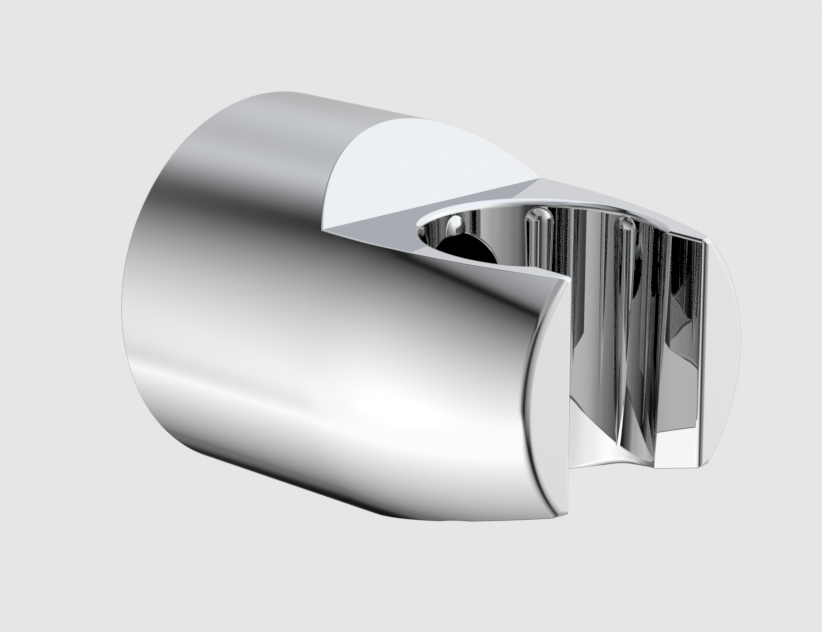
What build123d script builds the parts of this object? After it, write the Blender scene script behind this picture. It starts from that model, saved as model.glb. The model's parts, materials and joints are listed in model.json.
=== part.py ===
from build123d import *
import math
import os

os.makedirs("parts", exist_ok=True)

# Frame: the wall face lies at y = 0 about the origin, the body sticks out along -Y, and +Z is up

# Tapered socket for the hose nut, with its axis upright
socket_diameter = 25.3
socket_taper = 1.4

# The hose passes through the slot, between the two jaws
slot_width = 19.7
jaw_length = 5.0

# Land beside the slot on the nose face, at the flat and at the underside
upper_land = 1.0
lower_land = 1.75

# Flat round the socket's rim, falling to the front, and the step that leans back from it to the wall
flat_height = 13.2
flat_fall = 1.6
rim_land = 2.65
step_reach = 26.8
step_lean = 40.0

# Slanted cut under the nose, rising to the front
underside_rise = 14.2

# Turned outline: straight from the wall, then a long curve down to the nose
side_wall = 3.7
straight_length = 28.3

# Guide ribs on the socket's wall, ball ended at the top, that fade out above the lower edge
rib_count = 5
rib_radius = 2.1
rib_gap = 0.12
rib_fade = 1.7

# Rounds of the socket's rim and the outer edges, and the smaller ones of the nose faces, which run into both
rim_round = 0.5
edge_round = 0.35
nose_share = 0.85

# Small chamfer that breaks the socket's lower edge and, drawn out along the side, the edge at the wall
edge_break = 0.2

# Cored back, and the boss whose well takes the head of the fixing screw
wall = 3.0
boss_height = 4.7
boss_wall = 2.5
well_diameter = 11.0
screw_seat = 4.0
screw_diameter = 5.0
screw_clearance = 0.5

socket_radius = socket_diameter / 2
slot_half = slot_width / 2
well_radius = well_diameter / 2
nose_round = nose_share * edge_round
taper, fall, rise, lean = [math.radians(a) for a in (socket_taper, flat_fall, underside_rise, step_lean)]

# Stack-up from the wall to the nose, and the height of the flat at the socket's axis and at the nose
socket_reach = step_reach + rim_land + socket_radius
body_length = socket_reach + math.sqrt(socket_radius**2 - slot_half**2) + jaw_length
rim_height = flat_height - (socket_reach - step_reach) * math.tan(fall)
nose_height = flat_height - (body_length - step_reach) * math.tan(fall)

# The body clears the socket by the side wall, and the nose face leaves the two lands beside the slot
body_radius = math.hypot(socket_radius + side_wall, flat_height)
nose_radius = math.hypot(slot_half + upper_land, nose_height)
nose_depth = math.sqrt(nose_radius**2 - (slot_half + lower_land) ** 2)

# Cutters reach past the body on every side
beyond = 0.25 * body_radius
top = body_radius + beyond
front = body_length + beyond

# Planes of the three slanted faces; each faces away from the metal
flat = Plane(origin=(0, -step_reach, flat_height), x_dir=(1, 0, 0), z_dir=(0, -math.sin(fall), math.cos(fall)))
step = Plane(origin=(0, -step_reach, flat_height), x_dir=(1, 0, 0), z_dir=(0, -math.cos(lean), math.sin(lean)))
underside = Plane(
    origin=(0, -body_length, -nose_depth), x_dir=(1, 0, 0), z_dir=(0, -math.sin(rise), -math.cos(rise))
)

# A rib is an upright rod that the wall closes in on, so its height follows from where it fades out
axis_depth = nose_depth + (body_length - socket_reach) * math.tan(rise)
rib_top = rim_height - rim_round - rib_gap
rib_stand = (rib_top + axis_depth - rib_fade) * math.tan(taper)
crest_radius = socket_radius - (rim_height - rib_top) * math.tan(taper) - rib_stand
ball_height = rib_top - math.sqrt(rib_radius**2 - (rib_radius - rib_stand) ** 2)

with BuildPart() as rib_rod:
    with BuildSketch(Plane.XZ):
        with BuildLine():
            side = Line((rib_radius, -2 * top), (rib_radius, ball_height))
            ball = RadiusArc(side @ 1, (0, ball_height + rib_radius), -rib_radius)
            Polyline(ball @ 1, (0, -2 * top), side @ 0)
        make_face()
    revolve(axis=Axis.Z)

with BuildPart() as socket_core:
    with BuildSketch(Plane.YZ):
        with BuildLine():
            Polyline(
                (-socket_reach, -top),
                (-socket_reach - socket_radius + (rim_height + top) * math.tan(taper), -top),
                (-socket_reach - socket_radius - (top - rim_height) * math.tan(taper), top),
                (-socket_reach, top),
                close=True,
            )
        make_face()
    revolve(axis=Axis((0, -socket_reach, 0), (0, 0, 1)))
    with Locations((0, -socket_reach, 0)):
        with PolarLocations(crest_radius + rib_radius, rib_count, angular_range=180, endpoint=True):
            add(rib_rod.part, mode=Mode.SUBTRACT)
        Box(slot_width, front - socket_reach, 2 * top, align=(Align.CENTER, Align.MAX, Align.CENTER))
    fillet(socket_core.edges().filter_by(GeomType.HYPERBOLA), radius=edge_round)

with BuildPart() as back_core:
    with BuildSketch(Plane.XZ):
        Circle(body_radius - wall)
    extrude(amount=socket_reach - socket_radius - wall)
    split(bisect_by=step.offset(-wall), keep=Keep.BOTTOM)
    split(bisect_by=underside.offset(-wall), keep=Keep.BOTTOM)
    with BuildSketch(Plane.XZ):
        with Locations((0, boss_height)):
            Circle(well_radius + boss_wall)
    extrude(amount=socket_reach, mode=Mode.SUBTRACT)

with BuildPart() as holder_body:
    with BuildSketch(Plane.XY):
        with BuildLine():
            side = Line((body_radius, -edge_round), (body_radius, -straight_length))
            nose = TangentArc(side @ 1, (nose_radius, -body_length), tangent=side % 1)
            Polyline(nose @ 1, (0, -body_length), (0, 0), (body_radius - edge_break, 0), side @ 0)
        make_face()
    revolve(axis=Axis.Y)
    with BuildSketch(Plane.YZ):
        with BuildLine():
            Polyline(
                (-step_reach, flat_height),
                (-front, flat_height - (front - step_reach) * math.tan(fall)),
                (-front, top),
                (-step_reach + (top - flat_height) * math.tan(lean), top),
                close=True,
            )
        make_face()
    extrude(amount=top, both=True, mode=Mode.SUBTRACT)
    split(bisect_by=underside, keep=Keep.BOTTOM)
    flat_faces = holder_body.faces().filter_by(GeomType.PLANE).sort_by(Axis.Y)
    fillet(flat_faces[1:-1].edges() - flat_faces[0].edges(), radius=edge_round)
    add(back_core.part, mode=Mode.SUBTRACT)

    # Cut the socket, finish its rim and its lower edge, then the nose faces that both run into
    add(socket_core.part, mode=Mode.SUBTRACT)
    socket_edges = holder_body.edges(Select.NEW)
    fillet(holder_body.faces().filter_by(flat).edges() & socket_edges, radius=rim_round)
    chamfer(holder_body.faces().filter_by(underside).edges() & socket_edges, length=edge_break)
    fillet(holder_body.faces().group_by(Axis.Y)[0].edges(), radius=nose_round)

    # Screw well through the socket's rear wall, down to its seat, and the screw hole on to the wall face
    with Locations(Plane.XZ.offset(socket_reach) * Location((0, boss_height, 0))):
        CounterBoreHole(
            radius=screw_diameter / 2 + screw_clearance / 2,
            counter_bore_radius=well_radius,
            counter_bore_depth=socket_reach - screw_seat,
            depth=2 * socket_reach,
        )

holder_body.part.label = "holder_body"
export_step(holder_body.part, "parts/holder_body.step")
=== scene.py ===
"""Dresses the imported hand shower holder.

A new body takes the place of the frame's solid. It has the same form, with the casting's exact rounds
and normals, in two chrome finishes. A light tent that only reflections see, a pale studio and the
photograph's camera complete the scene.
"""

from __future__ import annotations

import json
import logging
import math
from dataclasses import dataclass
from enum import Enum

import bpy
import numpy as np
from mathutils import Matrix, Vector

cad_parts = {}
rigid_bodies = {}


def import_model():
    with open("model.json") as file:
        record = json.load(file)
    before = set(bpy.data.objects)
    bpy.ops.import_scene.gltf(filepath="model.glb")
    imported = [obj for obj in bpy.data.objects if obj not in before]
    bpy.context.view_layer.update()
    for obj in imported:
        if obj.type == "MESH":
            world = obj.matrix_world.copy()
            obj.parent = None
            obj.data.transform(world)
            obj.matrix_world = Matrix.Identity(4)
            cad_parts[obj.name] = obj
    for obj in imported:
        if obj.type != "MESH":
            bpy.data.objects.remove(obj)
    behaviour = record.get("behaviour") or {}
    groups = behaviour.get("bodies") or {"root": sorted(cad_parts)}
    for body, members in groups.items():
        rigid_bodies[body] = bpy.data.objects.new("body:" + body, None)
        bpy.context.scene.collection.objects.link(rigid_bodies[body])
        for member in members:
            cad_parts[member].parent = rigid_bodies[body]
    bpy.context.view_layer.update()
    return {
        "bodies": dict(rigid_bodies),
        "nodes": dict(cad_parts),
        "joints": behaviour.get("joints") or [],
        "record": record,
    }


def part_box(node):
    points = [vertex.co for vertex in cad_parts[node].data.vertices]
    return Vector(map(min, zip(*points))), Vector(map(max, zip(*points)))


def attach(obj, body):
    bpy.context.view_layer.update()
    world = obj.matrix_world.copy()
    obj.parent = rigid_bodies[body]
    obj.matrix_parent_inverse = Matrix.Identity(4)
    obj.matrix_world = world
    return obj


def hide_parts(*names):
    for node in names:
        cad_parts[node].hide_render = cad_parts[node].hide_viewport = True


log = logging.getLogger("holder")

Point = tuple[float, float, float]
Span = tuple[float, float]

MM = 0.001

# A length and a divisor are never taken as less than these, and a cosine of two normals never as more
LEAST_LENGTH = 1e-12
LEAST_DIVISOR = 1e-6
MOST_COSINE = 0.999

# 1 for each direction across a rod from the wall to the nose, and across an upright one
ACROSS_Y = (1, 0, 1)
ACROSS_Z = (1, 1, 0)

# Light of the dark line where the tent's left wall meets its ceiling
TOP_EDGE_GLOW = 0.024


class Finish(Enum):
    """The two finishes of the plated casting, by their place in the body's material slots."""

    POLISHED = 0
    AS_CAST = 1


def unit(rows: np.ndarray) -> np.ndarray:
    """Returns every vector of the last axis divided by its length."""
    return rows / np.maximum(np.linalg.norm(rows, axis=-1, keepdims=True), LEAST_LENGTH)


def dot(one: np.ndarray, two: np.ndarray) -> np.ndarray:
    """Returns the product of each row with its partner: the cosine between two unit vectors."""
    return np.einsum("ij,ij->i", one, two)


def mix(start: np.ndarray | float, end: np.ndarray | float, share: np.ndarray | float) -> np.ndarray:
    """Returns what lies at a share of the way from the start to the end."""
    return start + (end - start) * share


def smooth(value: np.ndarray, start: np.ndarray | float, end: np.ndarray | float) -> np.ndarray:
    """Rises from 0 at the start to 1 at the end by three squares of the share less two cubes of it."""
    share = np.clip((value - start) / (end - start), 0, 1)
    return share * share * (3 - 2 * share)


@dataclass
class Form:
    """How far points lie outside a form, negative inside it, and the unit way in which that grows."""

    far: np.ndarray
    way: np.ndarray

    def around(self) -> Form:
        """Returns the space around the form."""
        return Form(-self.far, -self.way)

    def grown(self, by: float) -> Form:
        """Returns the form, larger by a distance all round."""
        return Form(self.far - by, self.way)

    def cut(self, other: Form, radius: np.ndarray | float = 0.0) -> Form:
        """Keeps what lies inside both forms, and rounds the edge between them.

        The round's middle lies where both distances are minus the radius. The way from there to a point
        is a share of one normal and a share of the other. Where both shares are above 0, the result is
        the length of that way less the radius. Elsewhere it is the larger of the two distances.

        Args:
            other: the form to keep within.
            radius: radius of the round, or 0 for a crisp edge.

        Returns:
            The overlap.
        """
        turn = np.clip(dot(self.way, other.way), -MOST_COSINE, MOST_COSINE)
        one, two = self.far + radius, other.far + radius
        first = (one - turn * two) / (1 - turn**2)
        second = (two - turn * one) / (1 - turn**2)
        spread = first[:, None] * self.way + second[:, None] * other.way
        rounded = (first > 0) & (second > 0) & (radius > 0)
        nearer = self.far >= other.far
        far = np.where(nearer, self.far, other.far)
        way = np.where(nearer[:, None], self.way, other.way)
        far = np.where(rounded, np.linalg.norm(spread, axis=1) - radius, far)
        return Form(far, np.where(rounded[:, None], unit(spread), way))

    def join(self, other: Form, radius: np.ndarray | float = 0.0) -> Form:
        """Returns both forms as one, with the corner between them filled by a round."""
        return self.around().cut(other.around(), radius).around()


def half_space(points: np.ndarray, place: Point, normal: Point) -> Form:
    """Returns the half space behind the plane at a place, by the way from there along its unit normal."""
    way = np.array(normal, float)
    return Form((points - place) @ way, np.broadcast_to(way, points.shape))


def rod(points: np.ndarray, middle: Point, across: Point, radius: float) -> Form:
    """Returns an endless round rod about a middle, by the length of the way across it less its radius."""
    spread = (points - middle) * across
    return Form(np.linalg.norm(spread, axis=1) - radius, unit(spread))


@dataclass
class HolderBody:
    """The cast body: the frame's own solid, refined and drawn on to the casting's exact rounded surface.

    All sizes are in millimetres and degrees. Those of the form repeat the solid's, and the rounds are
    the ones of a buffed casting.
    """

    node: str = "holder_body"

    # Turned outline, the flat with the step that leans back from it, and the slanted underside
    straight_length: float = 28.3
    nose_radius: float = 16.485
    nose_depth: float = 11.713
    flat_height: float = 13.2
    flat_fall: float = 1.6
    step_reach: float = 26.8
    step_lean: float = 40.0
    underside_rise: float = 14.2

    # Tapered socket, its slot, and its ribs with their ball tops
    socket_reach: float = 42.1
    socket_radius: float = 12.65
    socket_taper: float = 1.4
    rim_height: float = 12.7726
    slot_half: float = 9.85
    rib_radius: float = 2.1
    rib_ring: float = 14.1131
    rib_ball: float = 10.6608
    rib_count: int = 5

    # Cored back, boss, screw well and screw hole
    wall: float = 3.0
    boss_height: float = 4.7
    boss_radius: float = 8.0
    well_radius: float = 5.5
    well_seat: float = 4.0
    hole_radius: float = 2.75

    # Rounds of the outer edges, from the wall along the flat and the underside to the nose
    wall_round: float = 0.3
    edge_round: float = 0.4
    lower_round: float = 0.5
    nose_round: float = 1.15

    # Rounds at the socket: its rim, the rim on the jaws, the slot's edges on the nose, the lower edge, the
    # slot's creases, the ribs' feet and the well's mouth
    rim_round: float = 0.8
    jaw_rim: float = 0.4
    slot_round: float = 0.6
    lower_break: float = 0.2
    jaw_round: float = 0.4
    foot_round: float = 0.35
    lip_round: float = 0.3

    # Band past the slot's creases in which the rim's round narrows to that on the jaws
    jaw_blend: Span = (-2.0, 0.5)

    # Band off the socket in which the rounds of its edges change into those of the outer edges
    land_blend: Span = (0.5, 1.8)

    # Depth of the skin that counts as the cored back
    back_skin: float = 0.1

    # Share of the way into a triangle at which the normals of its corners are read
    corner_inset: float = 0.02

    # Digits of a metre that tell corner points apart, and pulls that draw a point on to the surface
    merge_digits: int = 7
    pulls: int = 3

    def __post_init__(self) -> None:
        """Reads the body's radius and length from the frame, and works out the nose's arc and some places.

        The arc leaves the straight part without a kink and moves in by the inset over its run. Its radius
        is the sum of their squares over twice the inset.
        """
        low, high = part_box(self.node)
        self.radius, self.length = high.x / MM, -low.y / MM
        inset, run = self.radius - self.nose_radius, self.length - self.straight_length
        self.arc = (run**2 + inset**2) / (2 * inset)
        self.crease = (0, -self.step_reach, self.flat_height)
        self.boss = (0, 0, self.boss_height)
        self.core_depth = self.socket_reach - self.socket_radius - self.wall
        self.jaw_reach = self.socket_reach + math.sqrt(self.socket_radius**2 - self.slot_half**2)

    def turned(self, points: np.ndarray) -> Form:
        """Measures how far each point lies outside the turned body, which is endless to both sides.

        Past the straight part, the distance is the one from the arc's middle less the arc's radius.

        Args:
            points: where to measure, one point to a row, in millimetres.

        Returns:
            The body's turned outline.
        """
        spoke = rod(points, (0, 0, 0), ACROSS_Y, self.radius)
        past = np.minimum(points[:, 1] + self.straight_length, 0)
        bend = unit(spoke.way * (spoke.far + self.arc)[:, None] + past[:, None] * np.array([0, 1, 0]))
        return Form(np.hypot(spoke.far + self.arc, past) - self.arc, bend)

    def step(self, points: np.ndarray) -> Form:
        """Returns the half space behind the step."""
        lean = math.radians(self.step_lean)
        return half_space(points, self.crease, (0, -math.cos(lean), math.sin(lean)))

    def under(self, points: np.ndarray) -> Form:
        """Returns the half space above the slanted underside."""
        rise = math.radians(self.underside_rise)
        return half_space(points, (0, -self.length, -self.nose_depth), (0, -math.sin(rise), -math.cos(rise)))

    def hollow(self, points: np.ndarray) -> Form:
        """Measures how far each point lies outside the cored space.

        It lies a wall's thickness inside the turned body, the step and the underside, ends behind the
        socket and leaves out the boss.

        Args:
            points: where to measure, one point to a row, in millimetres.

        Returns:
            The space's form.
        """
        sides = self.turned(points).cut(self.step(points)).cut(self.under(points)).grown(-self.wall)
        space = sides.cut(half_space(points, (0, -self.core_depth, 0), (0, -1, 0)))
        return space.cut(rod(points, self.boss, ACROSS_Y, self.boss_radius).around())

    def behind(self, points: np.ndarray) -> np.ndarray:
        """Tells which points lie inside the cored back or on its walls."""
        return self.hollow(points).far < self.back_skin

    def socket(self, points: np.ndarray) -> Form:
        """Measures how far each point lies outside the socket's space: a cone and the slot, less the ribs.

        A rib's distance is that from its axis, up to the ball's middle, and from there that from the
        middle itself. The ribs stand evenly over the rear half turn.

        Args:
            points: where to measure, one point to a row, in millimetres.

        Returns:
            The space's form.
        """
        taper, axis = math.radians(self.socket_taper), (0, -self.socket_reach, 0)
        spoke = rod(points, axis, ACROSS_Z, self.socket_radius)
        far = spoke.far * math.cos(taper) - (points[:, 2] - self.rim_height) * math.sin(taper)
        cone = Form(far, spoke.way * math.cos(taper) - np.array([0, 0, math.sin(taper)]))
        side = np.sign(points[:, :1]) * np.array([1, 0, 0])
        slot = Form(np.abs(points[:, 0]) - self.slot_half, side).cut(half_space(points, axis, (0, 1, 0)))
        space = cone.join(slot, self.jaw_round)
        for angle in np.linspace(0, math.pi, self.rib_count):
            across, ahead = math.cos(angle) * self.rib_ring, math.sin(angle) * self.rib_ring
            spread = points - np.array([across, ahead, self.rib_ball]) - np.array(axis)
            spread[:, 2] = np.maximum(spread[:, 2], 0)
            rib = Form(np.linalg.norm(spread, axis=1) - self.rib_radius, unit(spread))
            space = space.cut(rib.around(), self.foot_round)
        return space

    def outside(self, points: np.ndarray) -> Form:
        """Measures how far each point lies outside the metal.

        The turned outline, the wall face, the flat with the step, the socket with its slot and ribs, the
        slanted underside, the nose face, the well with its hole and the cored back are put together one
        by one, with the casting's rounds between them.

        Args:
            points: where to measure, one point to a row, in millimetres.

        Returns:
            The body's form.
        """
        fall, socket = math.radians(self.flat_fall), self.socket(points)
        start, end = (self.jaw_reach + past for past in self.jaw_blend)
        jaws = smooth(-points[:, 1], start, end)
        outer = smooth(socket.far, *self.land_blend)

        flat = half_space(points, self.crease, (0, -math.sin(fall), math.cos(fall)))
        nose = half_space(points, (0, -self.length, 0), (0, -1, 0))
        well = rod(points, self.boss, ACROSS_Y, self.well_radius)
        well = well.cut(half_space(points, (0, -self.well_seat, 0), (0, 1, 0)))
        hole = rod(points, self.boss, ACROSS_Y, self.hole_radius)

        body = self.turned(points).cut(half_space(points, (0, 0, 0), (0, 1, 0)), self.wall_round)
        body = body.cut(flat.join(self.step(points)), self.edge_round)
        body = body.cut(socket.around(), mix(self.rim_round, self.jaw_rim, jaws))
        body = body.cut(self.under(points), mix(self.lower_break, self.lower_round, outer))
        body = body.cut(nose, mix(self.slot_round, self.nose_round, outer))
        body = body.cut(well.around(), self.lip_round)
        body = body.cut(hole.around())
        return body.cut(self.hollow(points).around())

    def draw_on(self, points: np.ndarray) -> np.ndarray:
        """Moves points on to the surface, pulled along its normal by their distance each time.

        Args:
            points: points near the surface, one to a row, in millimetres.

        Returns:
            The points on the surface.
        """
        for _ in range(self.pulls):
            form = self.outside(points)
            points = points - form.far[:, None] * form.way
        return points

    def merged(self, source: bpy.types.Mesh) -> tuple[np.ndarray, np.ndarray]:
        """Joins the solid's loose triangles at their common points, and drops those that have no area left.

        Args:
            source: the mesh of the frame's node.

        Returns:
            The points in millimetres, and three point numbers for each triangle.
        """
        source.calc_loop_triangles()
        points = np.empty(len(source.vertices) * 3, np.float32)
        source.vertices.foreach_get("co", points)
        corners = np.empty(len(source.loop_triangles) * 3, np.int32)
        source.loop_triangles.foreach_get("vertices", corners)
        points = points.reshape(-1, 3).astype(float)
        near = np.round(points, self.merge_digits)
        _, first, joined = np.unique(near, axis=0, return_index=True, return_inverse=True)
        corners = joined.reshape(-1)[corners].reshape(-1, 3)
        return points[first] / MM, corners[(corners != np.roll(corners, 1, axis=1)).all(1)]

    def build(self, frame: dict) -> bpy.types.Object:
        """Copies the frame's solid, refines it on to the exact surface and sets the surface's own normals.

        A corner's normal is read a little inside its triangle, so that it stays on its own side of a
        crisp edge.


        Returns:
            The new body, with its finishes told apart but not yet dressed.
        """
        points, corners = self.merged(frame["nodes"][self.node].data)
        points, corners = Refiner(self).refine(self.draw_on(points), corners)
        middle = points[corners].mean(1)
        spots = mix(points[corners], middle[:, None], self.corner_inset)
        finish = np.where(self.behind(middle), Finish.AS_CAST.value, Finish.POLISHED.value)
        mesh = bpy.data.meshes.new("shower_holder_body")
        mesh.from_pydata(points * MM, [], corners)
        mesh.polygons.foreach_set("use_smooth", np.ones(len(corners), bool))
        mesh.polygons.foreach_set("material_index", finish)
        mesh.update()
        mesh.normals_split_custom_set(self.outside(spots.reshape(-1, 3)).way)
        body = bpy.data.objects.new("shower_holder_body", mesh)
        bpy.context.scene.collection.objects.link(body)
        return body

    def dress(self, body: bpy.types.Object, finishes: dict[Finish, bpy.types.Material]) -> None:
        """Gives the body its two finishes and lets it stand for the frame's node.

        Args:
            body: the new body.
            finishes: the material of each finish.
        """
        for finish in Finish:
            body.data.materials.append(finishes[finish])
        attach(body, "root")
        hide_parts(self.node)


@dataclass
class Refiner:
    """Cuts a body's triangles until they follow its surface.

    Limits are in millimetres and degrees: the shortest edge that is halved, the turn of the surface
    along an edge, and the bend and the distance between the surface and the edge at the test shares.
    """

    body: HolderBody
    shortest: float = 0.15
    turn_limit: float = 15.0
    bend_limit: float = 0.8
    sag_limit: float = 0.004
    test_shares: tuple[float, ...] = (0.25, 0.5, 0.75)
    rounds: int = 10

    def refine(self, points: np.ndarray, corners: np.ndarray) -> tuple[np.ndarray, np.ndarray]:
        """Halves the edges that the surface leaves, round by round, and draws their middles on to it.

        Each round tests the edges that the last one made. A triangle with one, two or three halved edges
        becomes two, three or four triangles.

        Args:
            points: the corner points in millimetres, already on the surface.
            corners: three point numbers for each triangle.

        Returns:
            The new points and the new triangles.
        """
        normals, known = self.body.outside(points).way, 0
        for _ in range(self.rounds):
            pairs = np.sort(corners[:, [[0, 1], [1, 2], [2, 0]]].reshape(-1, 2), axis=1)
            pairs, number = np.unique(pairs, axis=0, return_inverse=True)
            marked = pairs.max(1) >= known
            marked[marked] = self.left_behind(points[pairs[marked]], normals[pairs[marked]])
            if not marked.any():
                break
            known = len(points)
            middle = np.full(len(pairs), -1)
            middle[marked] = known + np.arange(marked.sum())
            halves = self.body.draw_on(points[pairs[marked]].mean(1))
            points = np.concatenate([points, halves])
            normals = np.concatenate([normals, self.body.outside(halves).way])
            corners = self.share_out(corners, middle[number.reshape(-1, 3)])
        return points, corners

    def left_behind(self, ends: np.ndarray, normals: np.ndarray) -> np.ndarray:
        """Tells which edges the surface leaves: it turns too far along them, bends unevenly or lies off.

        Args:
            ends: the two end points of each edge.
            normals: the surface's normals there.

        Returns:
            A mask of those edges, without the short ones and the ones of the cored back.
        """
        tested = np.linalg.norm(ends[:, 1] - ends[:, 0], axis=1) > self.shortest
        tested &= ~self.body.behind(ends.mean(1))
        ends, normals = ends[tested], normals[tested]
        uneven = dot(normals[:, 0], normals[:, 1]) < math.cos(math.radians(self.turn_limit))
        for share in self.test_shares:
            between = unit(normals[:, 0] * (1 - share) + normals[:, 1] * share)
            there = self.body.outside(ends[:, 0] * (1 - share) + ends[:, 1] * share)
            uneven |= dot(between, there.way) < math.cos(math.radians(self.bend_limit))
            uneven |= np.abs(there.far) > self.sag_limit
        tested[tested] = uneven
        return tested

    def share_out(self, corners: np.ndarray, middle: np.ndarray) -> np.ndarray:
        """Cuts triangles at the middles of their halved edges.

        Each triangle is first turned, so that a single halved edge comes first and a single whole one last.

        Args:
            corners: three point numbers for each triangle.
            middle: the middle point's number for each of its edges, or -1.

        Returns:
            The triangles that take their place.
        """
        halved = (middle >= 0).sum(1)
        start = np.where(halved == 2, np.argmin(middle, axis=1) + 1, np.argmax(middle, axis=1))
        turned = (start[:, None] + np.arange(3)) % 3
        a, b, c = np.take_along_axis(corners, turned, 1).T
        ab, bc, ca = np.take_along_axis(middle, turned, 1).T
        cuts = {
            0: [(a, b, c)],
            1: [(a, ab, c), (ab, b, c)],
            2: [(ab, b, bc), (a, ab, bc), (a, bc, c)],
            3: [(a, ab, ca), (ab, b, bc), (ca, bc, c), (ab, bc, ca)],
        }
        return np.concatenate(
            [np.stack(part, axis=-1)[halved == count] for count, parts in cuts.items() for part in parts]
        )


@dataclass(frozen=True)
class SurfaceRelief:
    """The relief that both finishes share: slow waves in the plating, and patches where it is duller.

    The patches' noise counts as brightest at its low end and dullest at its high end.
    """

    patch_scale: float = 140.0
    patch_low: float = 0.35
    patch_high: float = 0.65

    def build(self) -> bpy.types.ShaderNodeTree:
        """Builds the node group.

        Returns:
            The group. Scale and Detail set the waves in object space, Depth is their height in metres,
            and Least and Most are the roughness of the brightest and the dullest patch. It puts out a
            normal and a roughness.
        """
        tree = bpy.data.node_groups.new("surface_relief", "ShaderNodeTree")
        for name in ("Scale", "Detail", "Depth", "Least", "Most"):
            tree.interface.new_socket(name, in_out="INPUT", socket_type="NodeSocketFloat")
        tree.interface.new_socket("Normal", in_out="OUTPUT", socket_type="NodeSocketVector")
        tree.interface.new_socket("Roughness", in_out="OUTPUT", socket_type="NodeSocketFloat")
        start, end = tree.nodes.new("NodeGroupInput"), tree.nodes.new("NodeGroupOutput")
        place = tree.nodes.new("ShaderNodeTexCoord")
        waves, patches = tree.nodes.new("ShaderNodeTexNoise"), tree.nodes.new("ShaderNodeTexNoise")
        bump, spread = tree.nodes.new("ShaderNodeBump"), tree.nodes.new("ShaderNodeMapRange")
        patches.inputs["Scale"].default_value = self.patch_scale
        spread.inputs["From Min"].default_value = self.patch_low
        spread.inputs["From Max"].default_value = self.patch_high
        wires = (
            (place, "Object", waves, "Vector"),
            (place, "Object", patches, "Vector"),
            (start, "Scale", waves, "Scale"),
            (start, "Detail", waves, "Detail"),
            (waves, "Fac", bump, "Height"),
            (start, "Depth", bump, "Distance"),
            (bump, "Normal", end, "Normal"),
            (patches, "Fac", spread, "Value"),
            (start, "Least", spread, "To Min"),
            (start, "Most", spread, "To Max"),
            (spread, "Result", end, "Roughness"),
        )
        for giver, out, taker, into in wires:
            tree.links.new(giver.outputs[out], taker.inputs[into])
        return tree


@dataclass(frozen=True)
class Plating:
    """Chrome plating over one kind of skin, with the relief of that skin.

    The roughness is that of the brightest and the dullest patch, and the waves' depth is in metres. The
    edge tint is the share of a plain metal's edge brightness that chromium keeps, since it hardly gains
    any light at a slant.
    """

    name: str
    colour: tuple[float, float, float]
    roughness: Span
    wave_scale: float
    wave_detail: float
    wave_depth: float
    edge_tint: float = 0.75

    def material(self, relief: bpy.types.ShaderNodeTree) -> bpy.types.Material:
        """Builds the node material.

        Args:
            relief: the group that SurfaceRelief built.

        Returns:
            The material.
        """
        material = bpy.data.materials.new(self.name)
        material.use_nodes = True
        nodes, links = material.node_tree.nodes, material.node_tree.links
        shader, group = nodes["Principled BSDF"], nodes.new("ShaderNodeGroup")
        group.node_tree = relief
        group.inputs["Scale"].default_value = self.wave_scale
        group.inputs["Detail"].default_value = self.wave_detail
        group.inputs["Depth"].default_value = self.wave_depth
        group.inputs["Least"].default_value, group.inputs["Most"].default_value = self.roughness
        shader.inputs["Metallic"].default_value = 1.0
        shader.inputs["Base Color"].default_value = (*self.colour, 1)
        shader.inputs["Specular Tint"].default_value = (self.edge_tint, self.edge_tint, self.edge_tint, 1)
        links.new(group.outputs["Normal"], shader.inputs["Normal"])
        links.new(group.outputs["Roughness"], shader.inputs["Roughness"])
        return material


PLATINGS = {
    Finish.POLISHED: Plating(
        name="polished_chrome",
        colour=(0.549, 0.556, 0.554),
        roughness=(0.008, 0.016),
        wave_scale=90.0,
        wave_detail=1.0,
        wave_depth=4e-6,
    ),
    Finish.AS_CAST: Plating(
        name="cast_chrome",
        colour=(0.50, 0.50, 0.50),
        roughness=(0.28, 0.42),
        wave_scale=700.0,
        wave_detail=3.0,
        wave_depth=3e-5,
    ),
}


@dataclass
class Viewpoint:
    """The photograph's camera, in degrees and millimetres, from the fit of the body's outline."""

    turn: float = -44.98
    tip: float = 15.804
    distance: float = 309.95
    aim: Point = (0.0, -29.4, 0.0)
    slide_right: float = -4.493
    slide_down: float = -1.339
    lens: float = 129.05
    sensor: float = 36.0
    nearest: float = 10.0
    farthest: float = 50000.0

    def build(self) -> bpy.types.Object:
        """Places the camera and makes it the scene's.

        It stands back from its aim by the distance, along its own axis, and is then slid sideways.

        Returns:
            The camera object.
        """
        turn, tip = math.radians(self.turn), math.radians(self.tip)
        right = Vector((math.cos(turn), math.sin(turn), 0))
        ahead = Vector((-math.sin(turn) * math.cos(tip), math.cos(turn) * math.cos(tip), -math.sin(tip)))
        down = ahead.cross(right)
        place = Vector(self.aim) - ahead * self.distance + right * self.slide_right + down * self.slide_down
        data = bpy.data.cameras.new("view")
        data.lens, data.sensor_width, data.sensor_fit = self.lens, self.sensor, "HORIZONTAL"
        data.clip_start, data.clip_end = self.nearest * MM, self.farthest * MM
        camera = bpy.data.objects.new("view", data)
        bpy.context.scene.collection.objects.link(camera)
        axes = Matrix((right, -down, -ahead)).transposed().to_4x4()
        camera.matrix_world = Matrix.Translation(place * MM) @ axes
        bpy.context.scene.camera = camera
        return camera


@dataclass(frozen=True)
class Hump:
    """A smooth hump over an angle: its height times e to minus the fourth power of the way in spreads."""

    middle: float
    spread: float
    height: float = 1.0

    def at(self, angle: np.ndarray) -> np.ndarray:
        """Returns the hump's height at each angle."""
        return self.height * np.exp(-(((angle - self.middle) / self.spread) ** 4))


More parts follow.
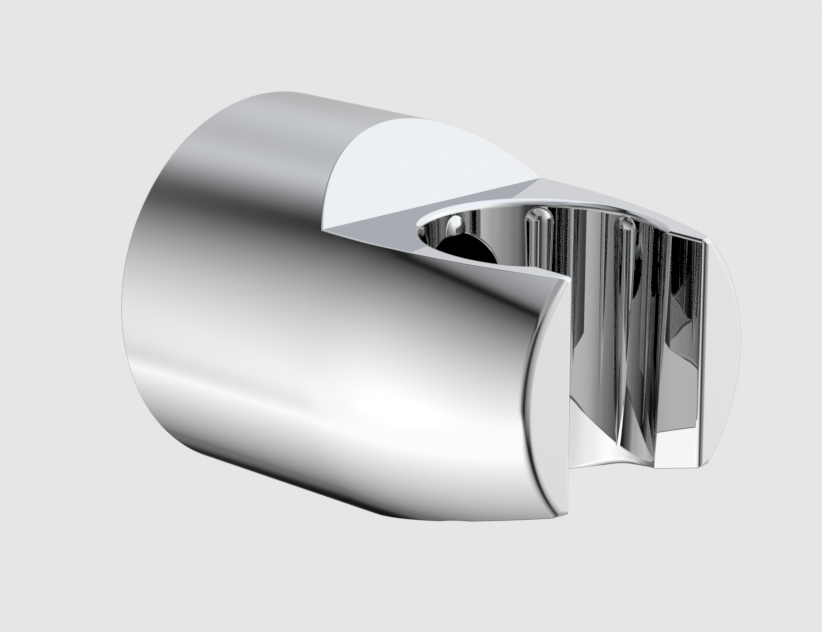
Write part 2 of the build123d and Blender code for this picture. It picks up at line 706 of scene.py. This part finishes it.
@dataclass
class Sight:
    """Directions from the middle of the tent, and where they meet it.

    Angles are in degrees: a bearing runs from the wall side, 0, by the right, 90, to the front, 180, and
    a depression is the angle below level. Up, flat, out and back are the directions' shares upwards, along
    the floor, towards the left wall and along it to the back. A height is taken at unit distance from the
    walls, so that 1 is the line where they meet the ceiling.
    """

    way: np.ndarray
    left_wall: float

    def __post_init__(self) -> None:
        """Works out the angles, the shares and the heights from the unit directions, one to a row."""
        across, ahead, up = self.way.T
        turn = math.radians(self.left_wall)
        self.up, self.flat = up, np.hypot(across, ahead)
        self.bearing = np.degrees(np.arctan2(across, ahead))
        self.depression = -np.degrees(np.arcsin(np.clip(up, -1, 1)))
        self.out = across * math.sin(turn) + ahead * math.cos(turn)
        self.back = across * math.cos(turn) - ahead * math.sin(turn)
        level = np.maximum(np.abs(self.out), np.abs(self.back))
        self.height = up / np.maximum(level, LEAST_DIVISOR)


@dataclass(frozen=True)
class TentWalls:
    """The tent's four walls, by the light at some of their bearings."""

    stops: tuple[tuple[float, float], ...] = (
        (-170, 0.66), (-160, 0.44), (-150, 0.09), (-138, 0.04), (-124, 0.32), (-105, 1.03), (-85, 1.38),
        (-62, 1.62), (-45, 1.42), (-27, 0.97), (15, 0.58), (40, 0.75), (50, 1.00), (72, 1.45), (116, 1.62),
        (165, 1.20), (180, 0.86),
    )
    left_starts: Span = (-125.0, -105.0)
    left_ends: Span = (-32.0, 4.0)
    left_foot: float = -0.5
    left_glow: float = 1.18
    swing: float = 0.13
    back_swing: Hump = Hump(25.0, 40.0, 0.41)
    front_swing: Hump = Hump(180.0, 30.0, 0.3)
    swing_heights: Span = (-0.5, 0.7)

    def light(self, sight: Sight) -> np.ndarray:
        """Works out the walls' light: that of the bearing, times a swing with the height.

        The walls gain light with their height, from 1 less the swing to 1 plus it, and most so at the
        back and the front. The left wall fades instead, from its glow at the foot to its dark top edge,
        by the mean of a straight line and half a wave.

        Args:
            sight: directions from the middle of the tent.

        Returns:
            The light for each direction.
        """
        left = smooth(sight.bearing, *self.left_starts) * (1 - smooth(sight.bearing, *self.left_ends))
        fall = np.clip((sight.height - self.left_foot) / (1 - self.left_foot), 0, 1)
        wave = (1 + np.cos(np.pi * fall)) / 2
        fade = mix(TOP_EDGE_GLOW, self.left_glow, ((1 - fall) + wave) / 2)
        swing = self.swing + self.back_swing.at(sight.bearing)
        swing += self.front_swing.at(np.abs(sight.bearing))
        rise = 1 + swing * (2 * smooth(sight.height, *self.swing_heights) - 1)
        return self.ring(sight.bearing) * (left * fade + (1 - left) * rise)

    def ring(self, bearing: np.ndarray) -> np.ndarray:
        """Blends the stops smoothly round the whole circle.

        Args:
            bearing: directions in degrees, from -180 to 180.

        Returns:
            The light at each bearing.
        """
        at, light = np.array(self.stops).T
        at, light = np.append(at[-1] - 360, at), np.append(light[-1], light)
        number = np.clip(np.searchsorted(at, bearing, side="right") - 1, 0, len(at) - 2)
        return mix(light[number], light[number + 1], smooth(bearing, at[number], at[number + 1]))


@dataclass(frozen=True)
class TentBase:
    """The tent's base: bright at the left, dim at the back, and lit again at the far right."""

    middle_glow: float = 0.8
    left_slope: float = 1.45
    back_slope: float = -0.13
    outward_slope: float = -0.45
    most: float = 1.75
    least: float = 0.04
    back_lift: float = 0.26
    back_shares: Span = (-0.2, 0.5)
    far_lift: float = 0.95
    far_shares: Span = (0.5, 0.85)
    far_depths: Span = (-0.95, -0.5)

    def light(self, sight: Sight) -> np.ndarray:
        """Works out the base's light: even slopes to the left, to the back and outwards, held in bounds.

        The lower bound rises towards the back, and on the far side from the left wall.

        Args:
            sight: directions from the middle of the tent.

        Returns:
            The light for each direction.
        """
        depth = np.maximum(-sight.up, LEAST_DIVISOR)
        slopes = self.left_slope * sight.out + self.back_slope * sight.back + self.outward_slope * sight.flat
        away = smooth(-sight.out / np.maximum(sight.flat, LEAST_DIVISOR), *self.far_shares)
        far_side = away * smooth(-depth, *self.far_depths)
        least = self.least + self.back_lift * smooth(sight.back, *self.back_shares)
        return np.clip(self.middle_glow + slopes / depth, least + self.far_lift * far_side, self.most)


@dataclass(frozen=True)
class TentCeiling:
    """The tent's ceiling at height 1, with a broad lamp on its right that has a slanting edge."""

    back_edge: float = 0.68
    glow: float = 1.1
    power: float = 0.6
    edge_fade: Span = (-0.05, 0.18)
    inside_fade: Span = (-0.12, 0.0)
    lamp_dim: float = 0.6
    lamp_glow: float = 1.58
    lamp_reach: Span = (-0.4, 0.4)
    lamp_edge: float = 0.243
    lamp_slant: float = 0.77
    lamp_blur: Span = (-0.04, 0.04)

    def light(self, sight: Sight) -> tuple[np.ndarray, np.ndarray]:
        """Works out the ceiling's light, where each direction meets it.

        The ceiling is dark along its left and back edges and grows from there by a power of the
        distance. The lamp is brightest at the right and dims to the left.

        Args:
            sight: directions from the middle of the tent.

        Returns:
            The light for each direction, and a mask of the ceiling inside those two edges.
        """
        up = np.maximum(sight.up, LEAST_DIVISOR)
        right, ahead = sight.way[:, 0] / up, sight.way[:, 1] / up
        rim = np.minimum(1 - sight.out / up, self.back_edge - ahead)
        dim = TOP_EDGE_GLOW + self.glow * np.maximum(rim, 0) ** self.power * smooth(rim, *self.edge_fade)
        lamp = mix(self.lamp_dim, self.lamp_glow, smooth(right, *self.lamp_reach))
        lit = smooth(self.lamp_edge + self.lamp_slant * right - ahead, *self.lamp_blur)
        return mix(dim, lamp, lit), smooth(rim, *self.inside_fade)


@dataclass
class LightTent:
    """A white tent round the holder that only its reflections show: four walls, a ceiling and a base.

    Lengths are in millimetres, angles in degrees and heights at unit distance. Lights are radiances, of
    which 1 is white. The tint is the share by which red, green and blue change at the ceiling's height.
    """

    reach: float = 900.0
    columns: int = 360
    rows: int = 180
    left_wall: float = -65.0
    walls: TentWalls = TentWalls()
    base: TentBase = TentBase()
    ceiling: TentCeiling = TentCeiling()
    base_heights: Span = (-0.6, -0.3)
    base_drop: float = 0.3
    base_drop_shares: Span = (-0.5, 0.5)
    ceiling_heights: Span = (0.45, 0.75)
    corner: Hump = Hump(38.0, 12.0, 0.96)
    corner_foot: Hump = Hump(34.0, 12.0)
    tint: tuple[float, float, float] = (-0.02, -0.01, 0.03)
    tint_gain: Hump = Hump(60.0, 35.0, 1.5)

    def build(self) -> bpy.types.Object:
        """Builds the tent as a ball of rows and columns, and writes its light to each corner point.

        Returns:
            The tent, unseen by the camera, by diffuse light and by shadows.
        """
        bearing = np.radians(np.arange(self.columns) * 360 / self.columns)
        slope = np.radians(np.linspace(-90, 90, self.rows + 1)[1:-1])
        slope, bearing = np.meshgrid(slope, bearing, indexing="ij")
        level = np.cos(slope)
        way = np.stack([level * np.sin(bearing), level * np.cos(bearing), np.sin(slope)], axis=-1)
        way = np.concatenate([way.reshape(-1, 3), [[0, 0, -1], [0, 0, 1]]])
        low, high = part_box("holder_body")
        middle = np.array((low + high) / 2)
        mesh = bpy.data.meshes.new("light_tent")
        mesh.from_pydata(way * self.reach * MM + middle, [], self.faces())
        glow = np.ones((len(way), 4), np.float32)
        glow[:, :3] = self.light(way)
        mesh.attributes.new("glow", "FLOAT_COLOR", "POINT").data.foreach_set("color", glow.reshape(-1))
        mesh.materials.append(self.material())
        tent = bpy.data.objects.new("light_tent", mesh)
        bpy.context.scene.collection.objects.link(tent)
        tent.visible_camera = tent.visible_diffuse = tent.visible_shadow = False
        return tent

    def faces(self) -> list[tuple[int, ...]]:
        """Numbers the faces' corners: four to a face between the rows, and a fan of triangles at each pole.

        Returns:
            The point numbers of each face, of which the last two points are the poles.
        """
        count = self.rows - 1
        grid = np.arange(count * self.columns).reshape(count, self.columns)
        right = np.roll(grid, -1, axis=1)
        quads = np.stack([grid[:-1], grid[1:], right[1:], right[:-1]], axis=-1).reshape(-1, 4)
        foot, crown = count * self.columns, count * self.columns + 1
        fans = [(int(a), int(b), foot) for a, b in zip(grid[0], right[0])]
        fans += [(int(b), int(a), crown) for a, b in zip(grid[-1], right[-1])]
        return [tuple(q) for q in quads.tolist()] + fans

    def light(self, way: np.ndarray) -> np.ndarray:
        """Works out the tent's light for each direction.

        The walls change into the base over a band of heights, which drops towards the back, and into the
        ceiling over another. The corner behind has a dark foot. The light turns a little bluer upwards,
        and more so behind at the right.

        Args:
            way: unit directions from the middle of the tent, one to a row.

        Returns:
            The colour of the light for each direction.
        """
        sight = Sight(way, self.left_wall)
        level = self.walls.light(sight)
        drop = self.base_drop * smooth(sight.back, *self.base_drop_shares)
        low, high = (height - drop for height in self.base_heights)
        level = mix(level, self.base.light(sight), 1 - smooth(sight.height, low, high))
        level *= 1 - self.corner.at(sight.bearing) * self.corner_foot.at(sight.depression)
        ceiling, inside = self.ceiling.light(sight)
        level = mix(level, ceiling, inside * smooth(sight.height, *self.ceiling_heights))
        blue = np.clip(sight.height, 0, 1) * (1 + self.tint_gain.at(sight.bearing))
        return level[:, None] * (1 + blue[:, None] * np.array(self.tint))

    def material(self) -> bpy.types.Material:
        """Builds a plain glow in the colour written on the tent.

        Returns:
            The material.
        """
        material = bpy.data.materials.new("tent_cloth")
        material.use_nodes = True
        nodes, links = material.node_tree.nodes, material.node_tree.links
        nodes.clear()
        colour, glow = nodes.new("ShaderNodeAttribute"), nodes.new("ShaderNodeEmission")
        end = nodes.new("ShaderNodeOutputMaterial")
        colour.attribute_name = "glow"
        links.new(colour.outputs["Color"], glow.inputs["Color"])
        links.new(glow.outputs["Emission"], end.inputs["Surface"])
        material.cycles.emission_sampling = "NONE"
        return material


@dataclass
class Studio:
    """A pale floor, in millimetres below the body's middle and to each side, and a pale surround."""

    floor_drop: float = 920.0
    floor_half: float = 12000.0
    pale: float = 0.79

    def build(self) -> bpy.types.Object:
        """Makes the surround and the floor.

        Returns:
            The floor.
        """
        self.make_world()
        return self.make_floor()

    def make_floor(self) -> bpy.types.Object:
        """Lays a level square sheet under the object.

        Returns:
            The floor, with its pale material.
        """
        low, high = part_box("holder_body")
        side, height = self.floor_half * MM, (low.z + high.z) / 2 - self.floor_drop * MM
        mesh = bpy.data.meshes.new("studio_floor")
        square = np.array([[-1, -1], [1, -1], [1, 1], [-1, 1]]) * side
        mesh.from_pydata(np.column_stack([square, np.full(4, height)]), [], [(0, 1, 2, 3)])
        floor = bpy.data.objects.new("studio_floor", mesh)
        bpy.context.scene.collection.objects.link(floor)
        material = bpy.data.materials.new("pale_floor")
        material.use_nodes = True
        shader = material.node_tree.nodes["Principled BSDF"]
        shader.inputs["Base Color"].default_value = (self.pale, self.pale, self.pale, 1)
        shader.inputs["Roughness"].default_value = 1.0
        shader.inputs["Specular IOR Level"].default_value = 0.0
        mesh.materials.append(material)
        return floor

    def make_world(self) -> None:
        """Lights the floor with plain white, and shows the floor's own pale grey to camera and metal."""
        world = bpy.data.worlds.new("studio")
        bpy.context.scene.world = world
        world.use_nodes = True
        nodes, links = world.node_tree.nodes, world.node_tree.links
        nodes.clear()
        path, end = nodes.new("ShaderNodeLightPath"), nodes.new("ShaderNodeOutputWorld")
        light, pale = nodes.new("ShaderNodeBackground"), nodes.new("ShaderNodeBackground")
        blend = nodes.new("ShaderNodeMixShader")
        light.inputs["Color"].default_value = (1, 1, 1, 1)
        pale.inputs["Color"].default_value = (self.pale, self.pale, self.pale, 1)
        seen = path.outputs["Is Camera Ray"]
        for other in ("Is Glossy Ray", "Is Transmission Ray"):
            either = nodes.new("ShaderNodeMath")
            either.operation = "MAXIMUM"
            links.new(seen, either.inputs[0])
            links.new(path.outputs[other], either.inputs[1])
            seen = either.outputs[0]
        links.new(seen, blend.inputs[0])
        links.new(light.outputs[0], blend.inputs[1])
        links.new(pale.outputs[0], blend.inputs[2])
        links.new(blend.outputs[0], end.inputs["Surface"])


def main() -> None:
    """Builds the view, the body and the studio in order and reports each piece."""
    logging.basicConfig(level=logging.INFO, format="%(name)s: %(message)s")
    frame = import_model()
    Viewpoint().build()
    holder = HolderBody()
    body = holder.build(frame)
    relief = SurfaceRelief().build()
    holder.dress(body, {finish: plating.material(relief) for finish, plating in PLATINGS.items()})
    tent = LightTent().build()
    floor = Studio().build()
    for piece in (body, tent, floor):
        log.info("%s: %d faces", piece.name, len(piece.data.polygons))
    bpy.context.scene.view_settings.view_transform = "Standard"


if __name__ == "__main__":
    main()
